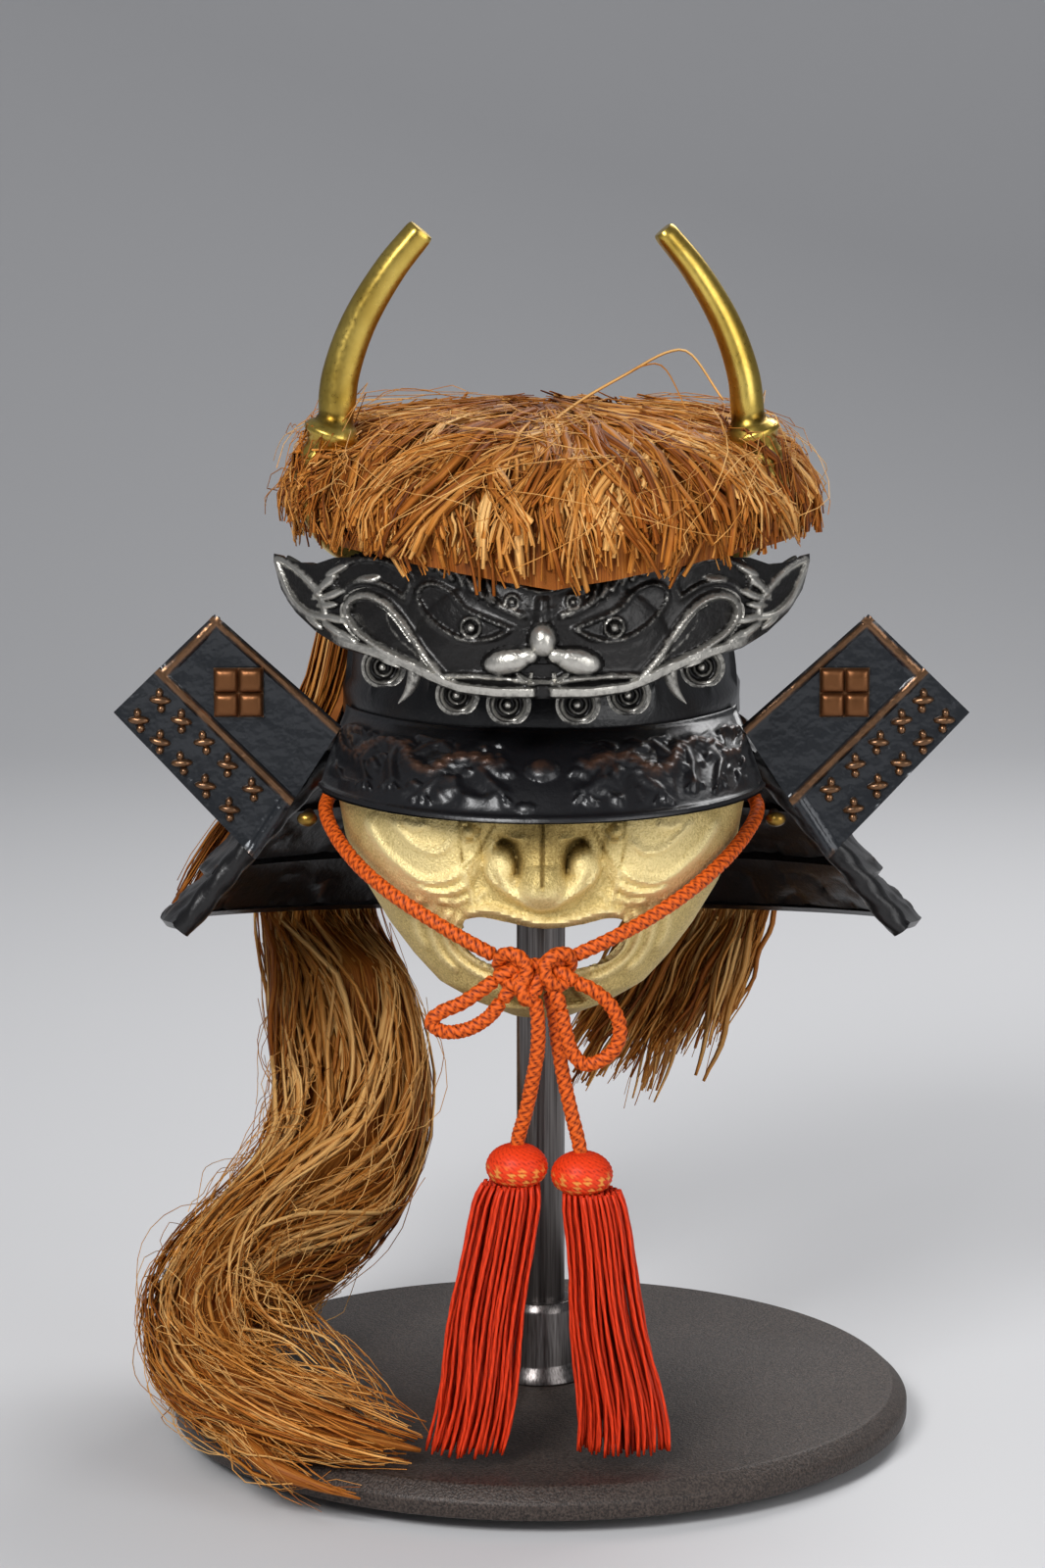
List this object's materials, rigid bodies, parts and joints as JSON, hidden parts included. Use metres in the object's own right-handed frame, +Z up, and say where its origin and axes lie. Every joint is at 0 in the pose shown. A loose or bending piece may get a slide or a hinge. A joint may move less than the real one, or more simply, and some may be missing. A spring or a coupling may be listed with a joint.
{
  "type": "kabuto samurai helmet on a display stand",
  "caption": "Display samurai helmet with horned demon crest, visor, cheek plates, neck guard, half mask, hemp hair and tasselled chin cord, held on a round base by a post.",
  "frame": {"origin": "on the floor, under the centre of the round base", "axes": "+Z up, -Y towards the face and visor, +X to the viewer's right when looking at the face"},
  "size_m": [0.233, 0.214, 0.3493],
  "materials": {
    "cast_brown": "fine granular dark brown paint",
    "dark_steel": "dark satin",
    "black_iron": "blackened, brown copper wear on the raised relief",
    "silvered_iron": "black with silver rubbed over the raised edges",
    "satin_gold": "satin gold plate",
    "sand_gold": "matt sandy gold",
    "copper": "dull brown copper",
    "orange_cord": "round braid",
    "hemp_hair": "raw hemp fibre"
  },
  "bodies": {
    "root": {"base": "cast_brown", "post_socket": "dark_steel", "post": "dark_steel", "head_rest": "cast_brown", "bowl": "black_iron", "visor": "black_iron", "crest_plate": "silvered_iron", "horn_left": "satin_gold", "horn_right": "satin_gold", "cheek_plate_right": "black_iron", "cheek_plate_left": "black_iron", "emblem_right": "copper", "emblem_left": "copper", "neck_guard": "black_iron", "rivet_left": "satin_gold", "rivet_right": "satin_gold", "face_mask": "sand_gold", "mask_bracket": "dark_steel", "chin_cord": "orange_cord", "bow_left": "orange_cord", "bow_right": "orange_cord", "cord_end_left": "orange_cord", "cord_end_right": "orange_cord", "cord_knot": "orange_cord", "tassel_left": "orange_cord", "tassel_right": "orange_cord", "hair_fringe": "hemp_hair", "hair_mantle": "hemp_hair", "hair_tail": "hemp_hair", "hair_side_lock": "hemp_hair"}
  },
  "joints": []
}
